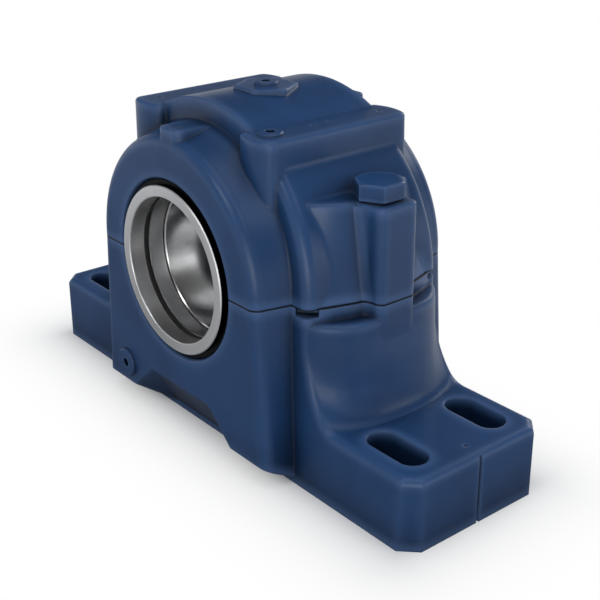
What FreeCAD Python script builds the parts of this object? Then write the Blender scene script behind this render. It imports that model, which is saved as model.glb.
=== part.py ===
import FreeCAD, Part
import math
import os

# Split plummer block with a spherical roller bearing on an adapter sleeve
# Frame: X along the base, Y along the shaft, Z up, origin under the base centre

# Base casting
base_length = 315.0
foot_width = 90.0
body_width_at_parting = 85.0
foot_height = 37.5
centre_height = 95.0
foot_chamfer = 8.3
base_edge_round = 3.5
waist_half = 83.0
flank_profile = [(0.722, 0.0), (0.496, 2.0), (0.261, 6.4), (0.103, 12.0), (0.0, 24.0)]
slot_end_distance = 28.5
slot_spacing_x = base_length - 2.0 * slot_end_distance
slot_spacing_y = 52.0
slot_width = 16.0
slot_length = 35.0
end_groove_width = 1.8
end_groove_depth = 1.2

# Base wall: height share, start inside the rib, swell at each station across the shaft
wall_top_drop = 7.0
wall_top_round = 2.6
wall_core = 55.0
wall_stations = [34.0, 27.0, 17.0, 0.0]
wall_rows = [(1.0 - wall_top_drop / 57.5, (0.9, 1.5), (8.3, 13.4, 16.6, 17.3)),
             (0.60, (0.9, 1.5), (8.4, 13.4, 16.5, 17.2)),
             (0.45, (1.2, 1.3), (6.8, 12.0, 15.2, 16.1)),
             (0.30, (1.5, 1.1), (5.3, 10.0, 13.1, 14.1)),
             (0.18, (1.8, 0.9), (4.2, 7.9, 10.8, 11.8)),
             (0.09, (2.1, 0.8), (2.9, 5.6, 8.3, 9.3)),
             (-0.016, (2.1, 1.0), (0.5, 2.5, 4.5, 5.5))]

# Cap casting
body_radius = 84.0
body_edge_round = 5.5
cap_draft = 0.055
ridge_inner = 34.0
ridge_outer = 58.4
ridge_corner_depth = 42.0
ridge_middle_depth = 45.4
ridge_top = centre_height + 75.0
ridge_foot = centre_height + 9.0
ridge_draft = 0.9
ridge_corner_round = 5.0
ridge_inner_round = 3.0
ridge_edge_round = 1.8
ridge_root_round = 7.0
root_bar_inset = 0.05
skirt_root_round = 3.0
rim_pad_half = 8.5
rim_pad_front = 60.5
rim_pad_back = 40.0
rim_pad_top = centre_height + 73.0
top_pad_radius = 16.5
top_pad_top = centre_height + 85.6
top_pad_root = centre_height + 70.0
shelf_top = centre_height + 47.0

# Hub around the seal, one at each end of the bore
hub_front = 61.5
hub_radius = 69.0
hub_edge_round = 6.0
hub_flare = 3.2
hub_flare_at_ground = 0.6
hub_root = 6.0
hub_half_at_ground = 75.8
hub_under_front = 12.0
hub_under_back = 3.5
relief_bottom_half = 45.0
relief_top_half = 26.5
relief_top_height = 29.0

# Bore stations
seat_radius = 75.0
seat_half_width = 31.0
cavity_radius = 66.0
end_wall_inner = 44.5
seal_bore_radius = 47.2
seal_bore_chamfer = 0.8
seal_rib_radius = 43.4
seal_rib_width = 1.6
seal_rib_station = 56.2
seal_wall_radius = 45.0
seal_wall_station = 50.5

# Cap bolts and dowels
bolt_station = 85.0
bolt_radius = 7.0
bolt_hole_clearance = 0.5
bolt_head_across_corners = 25.0
bolt_head_height = 8.0
bolt_tip_height = centre_height - 33.0
bolt_hole_floor = centre_height - 38.0
washer_radius = 9.9
washer_thickness = 1.3
boss_face = 100.3
boss_half_width = 11.8
boss_corner_round = 4.0
boss_edge_round = 1.5
dowel_radius = 3.0
dowel_length = 16.0
dowel_x = 80.2
dowel_y = 29.0

# Rolling bearing
bearing_half_width = 18.0
sphere_radius = 66.5
roller_radius = 8.5
roller_length = 12.5
roller_count = 17
contact_angle = 9.8
roller_play = 0.08
roller_crown = 1.0
inner_bore_small = 42.5
inner_bore_taper = 1.0 / 24.0
inner_rib_radius = 52.5
outer_groove_width = 8.0
outer_groove_depth = 1.2
outer_hole_radius = 2.0
outer_hole_count = 3
ring_edge = 1.2
cage_start = 4.4
cage_rail = 16.6
cage_end = 17.7
cage_bar_inner = 55.6
cage_bar_outer = 60.2
cage_rail_inner = 53.4
cage_rail_outer = 58.2
cage_pocket_clearance = 0.35
guide_inner = 53.4
guide_outer = 60.2
guide_inner_half_width = 2.2
guide_outer_half_width = 3.2

# Adapter sleeve set
shaft_radius = 37.5
sleeve_length = 63.0
sleeve_front = 41.6
sleeve_slit = 3.0
sleeve_slit_angle = 25.0
sleeve_chamfer = 0.6
nut_width = 16.0
nut_outer = 55.0
nut_edge = 1.5
nut_slot_width = 8.0
nut_slot_depth = 3.5
lock_washer_thickness = 1.7
lock_washer_disc = 52.0
lock_washer_tab_width = 7.0
lock_washer_tab_tip = 59.0
lock_tab_count = 15

# Locating rings
locating_inner = 68.0
locating_gap_angle = 50.0

# Seal rings
seal_face = 63.2
seal_inner_end = 42.1
seal_bore = 38.1
seal_lip_radius = 44.1
seal_lip_width = 2.2
seal_fin_radius = 46.5
seal_fin_width = 1.7
seal_fin_gap = 1.35
seal_body_radius = 42.0
seal_edge = 0.5
cord_station = 52.85
cord_radius = 1.5
cord_groove_depth = 3.0

# Plugs
plug_head_radius = 6.2
plug_head_height = 1.8
plug_stem_radius = 4.8
plug_stem_length = 9.0
plug_socket_flats = 5.0
plug_socket_depth = 4.0
plug_edge = 0.7
grease_channel_radius = 2.6
ridge_plug_x = 46.0
ridge_plug_y = -33.0
ridge_channel_floor = centre_height + 43.0
drain_x = -51.0
drain_z = 24.0
drain_head_radius = 8.0
drain_head_height = 2.2
drain_stem_radius = 6.0
drain_stem_length = 11.0

# Small marks left by drilling jigs
dimple_radius = 1.1
dimple_depth = 1.2

# Pry slots in the parting edge
pry_width = 11.0
pry_height = 4.2
pry_depth = 4.5

# Directions used everywhere
up = FreeCAD.Vector(0, 0, 1)
along_shaft = FreeCAD.Vector(0, 1, 0)
along_base = FreeCAD.Vector(1, 0, 0)
bore_centre = FreeCAD.Vector(0, 0, centre_height)
far = 400.0


def vec(x, y, z):
    return FreeCAD.Vector(x, y, z)


def block(x0, x1, y0, y1, z0, z1):
    return Part.makeBox(x1 - x0, y1 - y0, z1 - z0, vec(x0, y0, z0))


def rod(radius, start, end):
    axis = end.sub(start)
    return Part.makeCylinder(radius, axis.Length, start, axis)


def bore_rod(radius, y0, y1):
    return rod(radius, vec(0, y0, centre_height), vec(0, y1, centre_height))


def polygon_face(points):
    return Part.Face(Part.makePolygon(points + [points[0]]))


def wire_from(points, curves):
    # Each curve entry is a list of indices: two for a line, three for an arc
    edges = []
    for item in curves:
        picked = [points[i] for i in item]
        if len(picked) == 2:
            edges.append(Part.makeLine(picked[0], picked[1]))
        else:
            edges.append(Part.Arc(*picked).toShape())
    return Part.Wire(edges)


def fuse_all(shapes):
    result = shapes[0].multiFuse(shapes[1:])
    return result.removeSplitter()


def mirrored_y(shape):
    return shape.mirror(vec(0, 0, 0), along_shaft)


def mirrored_x(shape):
    return shape.mirror(vec(0, 0, 0), along_base)


def arc_middle(centre, radius, angle):
    turn = math.radians(angle)
    return centre[0] + radius * math.cos(turn), centre[1] + radius * math.sin(turn)


# Outline of one hub flank as offset and depth pairs, from the front face inward
def hub_flank(flare):
    straight_end = -(hub_front - hub_edge_round)
    lead = arc_middle((-hub_edge_round, straight_end), hub_edge_round, -45.0)
    slope = flare / (-straight_end - body_width_at_parting / 2.0)
    inner = -(body_width_at_parting / 2.0 - hub_root)
    return [(-hub_edge_round, -hub_front), lead, (0.0, straight_end),
            (slope * (inner - straight_end), inner), (slope * (inner - straight_end), -20.0)]


def hub_plan_wire(half_width, z, flare):
    right = [vec(half_width + dx, y, z) for dx, y in hub_flank(flare)]
    left = [vec(-(half_width + dx), y, z) for dx, y in hub_flank(flare)]
    edges = [Part.makeLine(left[0], right[0]),
             Part.Arc(right[0], right[1], right[2]).toShape(),
             Part.makeLine(right[2], right[3]),
             Part.makeLine(right[3], right[4]),
             Part.makeLine(right[4], left[4]),
             Part.makeLine(left[4], left[3]),
             Part.makeLine(left[3], left[2]),
             Part.Arc(left[2], left[1], left[0]).toShape()]
    return Part.Wire(edges)


# Hub below the parting line: vertical flanks with casting draft
def base_hub():
    upper = hub_plan_wire(hub_radius, centre_height, hub_flare)
    lower = hub_plan_wire(hub_half_at_ground, 0.0, hub_flare_at_ground)
    hub = Part.makeLoft([lower, upper], True, True)
    half = foot_width / 2.0
    slope = (hub_under_front - hub_under_back) / (hub_front - half)
    inner_end = hub_under_back - slope * (half - 20.0)
    under = polygon_face([vec(-far, -hub_front - 20.0, hub_under_front + slope * 20.0),
                          vec(-far, -20.0, inner_end),
                          vec(-far, -20.0, -50.0),
                          vec(-far, -hub_front - 20.0, -50.0)])
    hub = hub.cut(under.extrude(vec(2 * far, 0, 0)))
    return hub.cut(front_relief())


# Trapezoid relief in the lower front of a hub, its roof falling back to the foot
def front_relief():
    def section(y, top, bottom):
        slant = (relief_bottom_half - relief_top_half) / (relief_top_height - hub_under_front)
        half_top = relief_top_half
        half_bottom = half_top + slant * (top - bottom)
        return Part.makePolygon([vec(-half_bottom, y, bottom), vec(half_bottom, y, bottom),
                                 vec(half_top, y, top), vec(-half_top, y, top),
                                 vec(-half_bottom, y, bottom)])
    half = foot_width / 2.0
    rise = (relief_top_height - hub_under_back) / (hub_front - half)
    front_y = -hub_front - 4.0
    back_y = -half + 0.5
    front = section(front_y, relief_top_height + rise * 4.0, -20.0)
    back = section(back_y, hub_under_back - rise * 0.5, -20.0)
    return Part.makeLoft([front, back], True, True)


# Points of the curve that sweeps from the waist out to the top of the foot
def flank_points():
    rise = centre_height - foot_height
    return [vec(waist_half + out, 0, foot_height + share * rise) for share, out in flank_profile]


def flank_curve():
    flank = Part.BSplineCurve()
    flank.interpolate(Points=flank_points(), InitialTangent=vec(0, 0, -1), FinalTangent=vec(1, 0, 0))
    return flank


def flank_x(z):
    if z >= flank_points()[0].z:
        return waist_half
    trail = flank_curve().discretize(400)
    return min(trail, key=lambda point: abs(point.z - z)).x


def side_y(z):
    low = foot_width / 2.0
    high = body_width_at_parting / 2.0
    return low + (high - low) * z / centre_height


# Front view outline of the foot and waist, extruded and drafted
def base_body():
    half_length = base_length / 2.0
    right = [vec(waist_half, 0, centre_height)] + flank_points()
    edge = flank_curve().toShape()
    mirror_edge = edge.mirror(vec(0, 0, 0), along_base)
    foot_end = vec(half_length, 0, foot_height)
    toe = vec(half_length, 0, 0)
    flip = lambda p: vec(-p.x, p.y, p.z)
    edges = [Part.makeLine(flip(right[0]), right[0]), Part.makeLine(right[0], right[1]), edge,
             Part.makeLine(right[-1], foot_end), Part.makeLine(foot_end, toe),
             Part.makeLine(toe, flip(toe)), Part.makeLine(flip(toe), flip(foot_end)),
             Part.makeLine(flip(foot_end), flip(right[-1])), mirror_edge,
             Part.makeLine(flip(right[1]), flip(right[0]))]
    outline = Part.Face(Part.Wire(Part.__sortEdges__(edges)))
    front = outline.extrude(vec(0, foot_width + 20.0, 0))
    front.translate(vec(0, -(foot_width + 20.0) / 2.0, 0))
    low = foot_width / 2.0
    high = body_width_at_parting / 2.0
    side = polygon_face([vec(-far, -low, 0), vec(-far, low, 0),
                         vec(-far, high, centre_height), vec(-far, -high, centre_height)])
    side = side.extrude(vec(2 * far, 0, 0))
    inner = half_length - foot_chamfer
    cut = low - foot_chamfer
    plan = polygon_face([vec(-half_length, -cut, -1), vec(-inner, -low, -1), vec(inner, -low, -1),
                         vec(half_length, -cut, -1), vec(half_length, cut, -1), vec(inner, low, -1),
                         vec(-inner, low, -1), vec(-half_length, cut, -1)])
    plan = plan.extrude(vec(0, 0, centre_height + 2.0))
    body = front.common(side).common(plan).removeSplitter()
    chosen = []
    for item in body.Edges:
        box = item.BoundBox
        top_run = box.ZMin > foot_height - 0.5 and box.ZMax < centre_height + 0.1
        on_side = box.YMax < -30.0 or box.YMin > 30.0
        on_end = box.XMin > half_length - foot_chamfer - 0.1 or box.XMax < -half_length + foot_chamfer + 0.1
        flat_parting = box.ZMin > centre_height - 0.1
        if top_run and not flat_parting and (on_side or on_end):
            chosen.append(item)
    return body.makeFillet(base_edge_round, chosen)


# Curved wall section between two ribs, closed toward the bore
def wall_section(stations, z, inner):
    outer = [vec(x, -y, z) for y, x in stations]
    outer += [vec(x, y, z) for y, x in reversed(stations[:-1])]
    curve = Part.BSplineCurve()
    curve.interpolate(outer)
    first = outer[0]
    last = outer[-1]
    edges = [curve.toShape(),
             Part.makeLine(last, vec(inner, last.y, z)),
             Part.makeLine(vec(inner, last.y, z), vec(inner, first.y, z)),
             Part.makeLine(vec(inner, first.y, z), first)]
    return Part.Wire(edges)


# Bulging side wall of the base, swelling from the rounded ribs to the bolt boss
def base_wall():
    wires = []
    for share, start, swell in reversed(wall_rows):
        z = foot_height + share * (centre_height - foot_height)
        out = flank_x(z)
        stations = [(side_y(z) - start[0], out - start[1])]
        stations += [(y, out + grow) for y, grow in zip(wall_stations, swell)]
        wires.append(wall_section(stations, z, wall_core))
    wall = Part.makeLoft(wires, True, False)
    top = [e for e in wall.Edges if e.BoundBox.ZMin > centre_height - wall_top_drop - 0.1
           and e.BoundBox.XMin > 70.0]
    return wall.makeFillet(wall_top_round, top)


# Plan of the wall just at the parting line, shared by base and cap
parting_wall = [(40.5, 80.5), (34.0, 84.6), (25.5, 87.4), (17.5, 89.8), (0.0, 91.5)]
shelf_wall = [(36.0, 62.0), (32.0, 69.2), (24.0, 77.0), (15.5, 81.8), (0.0, 84.0)]


def base_upper_wall():
    lower = wall_section(parting_wall, 80.0, 55.0)
    upper = wall_section(parting_wall, centre_height, 55.0)
    return Part.makeLoft([lower, upper], True, True)


def cap_wall():
    lower = wall_section(parting_wall, centre_height - 2.0, 40.0)
    upper = wall_section(shelf_wall, shelf_top, 40.0)
    wall = Part.makeLoft([lower, upper], True, True)
    top = [e for e in wall.Edges if e.BoundBox.ZMin > shelf_top - 0.1 and e.BoundBox.XMin > 55.0]
    return wall.makeFillet(1.5, top)


def bolt_boss(z0, z1, round_top):
    boss = block(60.0, boss_face, -boss_half_width, boss_half_width, z0, z1)
    upright = [e for e in boss.Edges if e.BoundBox.ZLength > 1.0 and e.BoundBox.XMin > boss_face - 0.1]
    boss = boss.makeFillet(boss_corner_round, upright)
    if round_top:
        rim = [e for e in boss.Edges if e.BoundBox.ZMin > z1 - 0.1 and e.BoundBox.XMax > 61.0]
        boss = boss.makeFillet(boss_edge_round, rim)
    return boss


# Disc of the cap around the bearing seat: its faces lean in with casting draft, the ridge
# roots blend into it, and its rims are rounded
def body_disc():
    half = body_width_at_parting / 2.0
    long = foot_width
    disc = bore_rod(body_radius, -long, long)
    low = centre_height - 10.0
    slim = root_bar_inset
    lean = ridge_draft / (ridge_top - ridge_foot)
    foot_out = ridge_outer - slim + lean * (ridge_top - ridge_foot)
    bar_top = ridge_top - 5.0
    bar = polygon_face([vec(ridge_inner + 2.0, -long, ridge_foot), vec(foot_out, -long, ridge_foot),
                        vec(ridge_outer - slim + lean * (ridge_top - bar_top), -long, bar_top),
                        vec(ridge_inner + 2.0, -long, bar_top)])
    bar = bar.extrude(vec(0, 2.0 * long, 0))
    disc = disc.cut(block(-far, far, -far, far, -far, low))
    disc = disc.fuse([bar, mirrored_x(bar)]).removeSplitter()
    root = []
    for item in disc.Edges:
        box = item.BoundBox
        if box.YLength > long and abs(abs(box.Center.x) - ridge_outer) < 3.0 and box.ZMax < bar_top - 1.0:
            if box.ZMin > centre_height + 40.0:
                root.append(item)
    disc = disc.makeFillet(ridge_root_round, root)
    wide = half + cap_draft * 10.0
    slim_top = half - cap_draft * 100.0
    slab = polygon_face([vec(-far, -wide, low), vec(-far, wide, low),
                         vec(-far, slim_top, centre_height + 100.0),
                         vec(-far, -slim_top, centre_height + 100.0)])
    disc = disc.common(slab.extrude(vec(2 * far, 0, 0)))
    rims = []
    for item in disc.Edges:
        box = item.BoundBox
        flat = box.ZMin < low + 0.1 and box.ZMax > centre_height + 40.0
        if flat and box.YLength < 10.0:
            rims.append(item)
    return disc.makeFillet(body_edge_round, rims)


def cap_hub():
    flank = [vec(hub_radius + dx, y, centre_height) for dx, y in hub_flank(hub_flare)]
    start = vec(0, -hub_front, centre_height)
    end = vec(0, -20.0, centre_height)
    edges = [Part.makeLine(start, flank[0]), Part.Arc(flank[0], flank[1], flank[2]).toShape(),
             Part.makeLine(flank[2], flank[3]), Part.makeLine(flank[3], flank[4]),
             Part.makeLine(flank[4], end), Part.makeLine(end, start)]
    return Part.Face(Part.Wire(edges)).revolve(bore_centre, along_shaft, 360)


# Plan of a ridge: straight sides and gently bulging ends, grown by the draft
def ridge_plan(z, grow):
    inner = ridge_inner - grow
    outer = ridge_outer + grow
    corner = ridge_corner_depth + grow
    middle = ridge_middle_depth + grow
    centre = (inner + outer) / 2.0
    front = Part.Arc(vec(inner, -corner, z), vec(centre, -middle, z), vec(outer, -corner, z)).toShape()
    rear = Part.Arc(vec(outer, corner, z), vec(centre, middle, z), vec(inner, corner, z)).toShape()
    return Part.Wire([front, Part.makeLine(vec(outer, -corner, z), vec(outer, corner, z)),
                      rear, Part.makeLine(vec(inner, corner, z), vec(inner, -corner, z))])


def ridge():
    bar = Part.makeLoft([ridge_plan(ridge_foot, ridge_draft), ridge_plan(ridge_top, 0.0)], True, True)
    tall = [e for e in bar.Edges if e.BoundBox.ZLength > 10.0]
    bar = bar.makeFillet(ridge_corner_round, [e for e in tall if e.BoundBox.XMin > ridge_outer - 3.0])
    tall = [e for e in bar.Edges if e.BoundBox.ZLength > 10.0 and e.BoundBox.XMax < ridge_inner + 1.0]
    bar = bar.makeFillet(ridge_inner_round, tall)
    rim = [e for e in bar.Edges if e.BoundBox.ZMin > ridge_top - 0.1]
    return bar.makeFillet(ridge_edge_round, rim)


def rim_pad():
    pad = block(-rim_pad_half, rim_pad_half, -rim_pad_front, -rim_pad_back,
                centre_height + 45.0, rim_pad_top)
    tall = [e for e in pad.Edges if e.BoundBox.ZLength > 5.0 and e.BoundBox.YMax < -rim_pad_back - 1.0]
    pad = pad.makeFillet(4.0, tall)
    rim = [e for e in pad.Edges if e.BoundBox.ZMin > rim_pad_top - 0.1]
    return pad.makeFillet(1.2, rim)


def top_pad():
    corners = []
    for step in range(6):
        turn = math.radians(60.0 * step)
        corners.append(vec(top_pad_radius * math.cos(turn), top_pad_radius * math.sin(turn),
                           top_pad_root))
    pad = polygon_face(corners).extrude(vec(0, 0, top_pad_top - top_pad_root))
    rim = [e for e in pad.Edges if e.BoundBox.ZMin > top_pad_top - 0.1]
    return pad.makeFillet(0.8, rim)


# Bore with bearing seat, grease space and labyrinth, cut from both castings
def bore_cutter():
    parts = [bore_rod(seat_radius, -seat_half_width, seat_half_width),
             bore_rod(cavity_radius, -end_wall_inner, end_wall_inner)]
    parts.append(seal_passage())
    parts.append(mirrored_y(seal_passage()))
    return fuse_all(parts)


def seal_passage():
    rib_front = seal_rib_station + seal_rib_width / 2.0
    rib_back = seal_rib_station - seal_rib_width / 2.0
    outer = bore_rod(seal_bore_radius, -hub_front - 1.0, -rib_front)
    rib = bore_rod(seal_rib_radius, -rib_front - 0.5, -rib_back + 0.5)
    inner = bore_rod(seal_bore_radius, -rib_back, -seal_wall_station)
    wall = bore_rod(seal_wall_radius, -seal_wall_station - 0.5, -end_wall_inner + 1.0)
    lead = Part.makeCone(seal_bore_radius + 2.0 * seal_bore_chamfer, seal_bore_radius,
                         2.0 * seal_bore_chamfer,
                         vec(0, -hub_front - seal_bore_chamfer, centre_height), along_shaft)
    return fuse_all([outer, rib, inner, wall, lead])


def bolt_holes(radius, z0, z1):
    return [rod(radius, vec(side * bolt_station, 0, z0), vec(side * bolt_station, 0, z1))
            for side in (-1, 1)]


def dowel_places():
    return [(dowel_x, dowel_y), (-dowel_x, -dowel_y)]


def dimple(x, y, z):
    return rod(dimple_radius, vec(x, y, z - dimple_depth), vec(x, y, z + 2.0))


def foot_slot(x, y):
    radius = slot_width / 2.0
    reach = (slot_length - slot_width) / 2.0
    low = -1.0
    high = foot_height + 1.0
    ends = [rod(radius, vec(x + s * reach, y, low), vec(x + s * reach, y, high)) for s in (-1, 1)]
    middle = block(x - reach, x + reach, y - radius, y + radius, low, high)
    return fuse_all(ends + [middle])


def pry_slots():
    cutters = []
    for sx in (-1, 1):
        for sy in (-1, 1):
            slot = block(-pry_depth, pry_depth * 3.0, -pry_width / 2.0, pry_width / 2.0,
                         centre_height - pry_height, centre_height + 1.0)
            slot.rotate(vec(0, 0, 0), up, math.degrees(math.atan2(sy, sx)))
            slot.translate(vec(sx * 79.5, sy * 39.0, 0))
            cutters.append(slot)
    return cutters


def drain_passage():
    stem = rod(drain_stem_radius, vec(drain_x, -hub_front - 2.0, drain_z),
               vec(drain_x, -hub_front + drain_stem_length + 0.5, drain_z))
    channel = rod(3.5, vec(drain_x, -hub_front, drain_z), vec(drain_x, -38.0, drain_z))
    return [stem, channel]


# Oil sump: the grease space continues below the seat ends
def sump_cutter():
    pocket = block(-60.0, 60.0, -end_wall_inner + 1.5, -seat_half_width - 3.0, 18.0, 60.0)
    tall = [e for e in pocket.Edges if e.BoundBox.YLength > 5.0]
    pocket = pocket.makeFillet(6.0, tall)
    return [pocket, mirrored_y(pocket)]


def make_base():
    hub = base_hub()
    wall = base_wall()
    upper = base_upper_wall()
    boss = bolt_boss(72.0, centre_height, False)
    web = boss_web(74.0, centre_height, 88.2, 88.2)
    pieces = [base_body(), hub, mirrored_y(hub)]
    for piece in (wall, upper, boss, web, mirrored_y(web)):
        pieces += [piece, mirrored_x(piece)]
    base = fuse_all(pieces)
    base = base.cut(block(-far, far, -far, far, centre_height, centre_height + 100.0))
    base = base.cut(block(-far, far, -far, far, -60.0, 0.0)).cut(bore_cutter())
    cutters = bolt_holes(bolt_radius, bolt_hole_floor, centre_height + 1.0)
    cutters += [rod(dowel_radius, vec(x, y, centre_height - dowel_length / 2.0), vec(x, y, centre_height + 1.0))
                for x, y in dowel_places()]
    for sx in (-1, 1):
        for sy in (-1, 1):
            cutters.append(foot_slot(sx * slot_spacing_x / 2.0, sy * slot_spacing_y / 2.0))
        edge = sx * base_length / 2.0
        cutters.append(block(edge - end_groove_depth, edge + end_groove_depth,
                             -end_groove_width / 2.0, end_groove_width / 2.0, -1.0, foot_height - 1.0))
        cutters.append(dimple(sx * 147.5, 0.0, foot_height))
    cutters += pry_slots() + drain_passage() + sump_cutter()
    return base.cut(cutters).removeSplitter()


def plug_passage(x, y, top, floor, stem_radius, stem_length):
    seat = rod(stem_radius, vec(x, y, top - stem_length - 0.5), vec(x, y, top + 20.0))
    channel = rod(grease_channel_radius, vec(x, y, floor), vec(x, y, top))
    return [seat, channel]


def trimmed_at_parting(shape):
    return shape.cut(block(-far, far, -far, far, -far, centre_height)).removeSplitter()


# Disc with ridges and side skirts, the skirt flanks blended into it
def cap_core():
    pieces = [body_disc()]
    for piece in (ridge(), cap_wall()):
        pieces += [piece, mirrored_x(piece)]
    core = trimmed_at_parting(fuse_all(pieces))
    flank = [item for item in core.Edges if item.BoundBox.ZLength > 40.0
             and abs(item.BoundBox.Center.x) > 60.0 and 20.0 < abs(item.BoundBox.Center.y) < 36.0
             and item.BoundBox.ZMax < shelf_top]
    return core.makeFillet(skirt_root_round, flank)


# Hollow web that leads from the skirt into one flank of a bolt boss
def boss_web(z0, z1, out0, out1):
    def plan(z, out):
        start = vec(out, -boss_half_width - 6.2, z)
        middle = vec(out + 3.0, -boss_half_width - 1.8, z)
        end = vec(out + 7.5, -boss_half_width, z)
        tail = vec(60.0, -boss_half_width + 1.0, z)
        back = vec(60.0, -boss_half_width - 6.2, z)
        tip = vec(out + 7.5, -boss_half_width + 1.0, z)
        return Part.Wire([Part.Arc(start, middle, end).toShape(), Part.makeLine(end, tip),
                          Part.makeLine(tip, tail), Part.makeLine(tail, back), Part.makeLine(back, start)])
    return Part.makeLoft([plan(z0, out0), plan(z1, out1)], True, True)


def make_cap():
    hub = cap_hub()
    pad = rim_pad()
    boss = bolt_boss(90.0, shelf_top, True)
    web = boss_web(90.0, shelf_top - boss_edge_round, 89.0, 79.8)
    pieces = [cap_core(), hub, mirrored_y(hub), pad, mirrored_y(pad), top_pad()]
    for piece in (boss, web, mirrored_y(web)):
        pieces += [piece, mirrored_x(piece)]
    cap = trimmed_at_parting(fuse_all(pieces)).cut(bore_cutter())
    cutters = bolt_holes(bolt_radius + bolt_hole_clearance, centre_height - 1.0, shelf_top + 1.0)
    cutters += [rod(dowel_radius, vec(x, y, centre_height - 1.0), vec(x, y, centre_height + dowel_length / 2.0))
                for x, y in dowel_places()]
    cutters += plug_passage(0, 0, top_pad_top, top_pad_root, plug_stem_radius, plug_stem_length)
    cutters += plug_passage(ridge_plug_x, ridge_plug_y, ridge_top, ridge_channel_floor, plug_stem_radius, plug_stem_length)
    for x, y in ((-48.5, ridge_plug_y), (-48.5, -ridge_plug_y), (46.5, -7.5), (46.5, 2.5), (46.5, 35.0)):
        cutters.append(dimple(x, y, ridge_top))
    cutters += [dimple(0, -54.0, rim_pad_top), dimple(0, 54.0, rim_pad_top)]
    return cap.cut(cutters).removeSplitter()


# Hexagon bar standing on Z with one corner pair along Y
def hexagon(across_corners, z0, z1, turn_degrees):
    corners = []
    for step in range(6):
        turn = math.radians(60.0 * step + turn_degrees)
        corners.append(vec(across_corners / 2.0 * math.cos(turn), across_corners / 2.0 * math.sin(turn), z0))
    return polygon_face(corners).extrude(vec(0, 0, z1 - z0))


def cap_bolt(side):
    seat = shelf_top + washer_thickness
    head = hexagon(bolt_head_across_corners, seat, seat + bolt_head_height, 30.0)
    crown_top = bolt_head_across_corners / 2.0 - 1.4
    crown = Part.makeCone(crown_top + 2.0 * bolt_head_height, crown_top, bolt_head_height,
                          vec(0, 0, seat), up)
    head = head.common(crown)
    shank = rod(bolt_radius, vec(0, 0, bolt_tip_height), vec(0, 0, seat + 1.0))
    bolt = head.fuse(shank).removeSplitter()
    tip = [e for e in bolt.Edges if e.BoundBox.ZMax < bolt_tip_height + 0.1]
    bolt = bolt.makeChamfer(1.2, tip)
    bolt.translate(vec(side * bolt_station, 0, 0))
    return bolt


def cap_washer(side):
    low = vec(side * bolt_station, 0, shelf_top)
    high = vec(side * bolt_station, 0, shelf_top + washer_thickness)
    return rod(washer_radius, low, high).cut(rod(bolt_radius + bolt_hole_clearance, low, high))


def dowel(index):
    x, y = dowel_places()[index]
    pin = rod(dowel_radius, vec(x, y, centre_height - dowel_length / 2.0),
              vec(x, y, centre_height + dowel_length / 2.0))
    return pin.makeChamfer(0.6, [e for e in pin.Edges if e.BoundBox.ZLength < 0.01])


# Socket plug standing on Z at the origin, head underside at z = 0
def socket_plug(head_radius, head_height, stem_radius, stem_length):
    head = rod(head_radius, vec(0, 0, 0), vec(0, 0, head_height))
    rim = [e for e in head.Edges if e.BoundBox.ZMin > head_height - 0.01]
    head = head.makeChamfer(plug_edge, rim)
    stem = rod(stem_radius, vec(0, 0, -stem_length), vec(0, 0, 0.5))
    socket = hexagon(plug_socket_flats / math.cos(math.radians(30.0)),
                     head_height - plug_socket_depth, head_height + 1.0, 0.0)
    return head.fuse(stem).cut(socket).removeSplitter()


def grease_plug(x, y, z):
    plug = socket_plug(plug_head_radius, plug_head_height, plug_stem_radius, plug_stem_length)
    plug.translate(vec(x, y, z))
    return plug


def drain_plug():
    plug = socket_plug(drain_head_radius, drain_head_height, drain_stem_radius, drain_stem_length)
    plug.rotate(vec(0, 0, 0), along_base, 90)
    plug.translate(vec(drain_x, -hub_front, drain_z))
    return plug


# Rings turned about the shaft line from radius and depth pairs
def turned(points):
    place = [vec(r, y, centre_height) for r, y in points]
    return polygon_face(place).revolve(bore_centre, along_shaft, 360)


def outer_ring():
    w = bearing_half_width
    e = ring_edge
    ring = turned([(60.0, -w), (seat_radius - e, -w), (seat_radius, -w + e), (seat_radius, w - e),
                   (seat_radius - e, w), (60.0, w)])
    race = Part.makeSphere(sphere_radius, bore_centre)
    ring = ring.cut(race)
    groove = bore_rod(seat_radius + 5.0, -outer_groove_width / 2.0, outer_groove_width / 2.0)
    groove = groove.cut(bore_rod(seat_radius - outer_groove_depth, -outer_groove_width, outer_groove_width))
    ring = ring.cut(groove)
    for step in range(outer_hole_count):
        turn = math.radians(90.0 + 360.0 * step / outer_hole_count)
        out = vec(math.cos(turn) * 90.0, 0, centre_height + math.sin(turn) * 90.0)
        ring = ring.cut(rod(outer_hole_radius, bore_centre, out))
    return ring


# The taper grows toward the rear, so the nut at the front pulls the sleeve in
def inner_bore_radius(y):
    return inner_bore_small + inner_bore_taper * (bearing_half_width + y)


# Barrel roller profile radius at a distance from its middle
def roller_profile(offset, extra):
    outer = sphere_radius - roller_play
    bulge = math.sqrt(outer * outer - offset * offset) - outer
    return roller_radius - roller_play + bulge + extra


def roller_solid(extra, length):
    half = length / 2.0
    middle = roller_profile(0.0, extra)
    end = roller_profile(half, extra)
    points = [vec(0, -half, 0), vec(end - roller_crown, -half, 0), vec(end, -half + roller_crown, 0),
              vec(middle, 0, 0), vec(end, half - roller_crown, 0), vec(end - roller_crown, half, 0),
              vec(0, half, 0)]
    wire = wire_from(points, [(0, 1), (1, 2), (2, 3, 4), (4, 5), (5, 6), (6, 0)])
    return Part.Face(wire).revolve(vec(0, 0, 0), along_shaft, 360)


def place_roller(shape, side, angle):
    pitch = sphere_radius - roller_radius
    tilt = math.radians(contact_angle)
    moved = shape.copy()
    moved.rotate(vec(0, 0, 0), along_base, -side * contact_angle)
    moved.translate(vec(0, side * pitch * math.sin(tilt), centre_height + pitch * math.cos(tilt)))
    moved.rotate(bore_centre, along_shaft, angle)
    return moved


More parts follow.
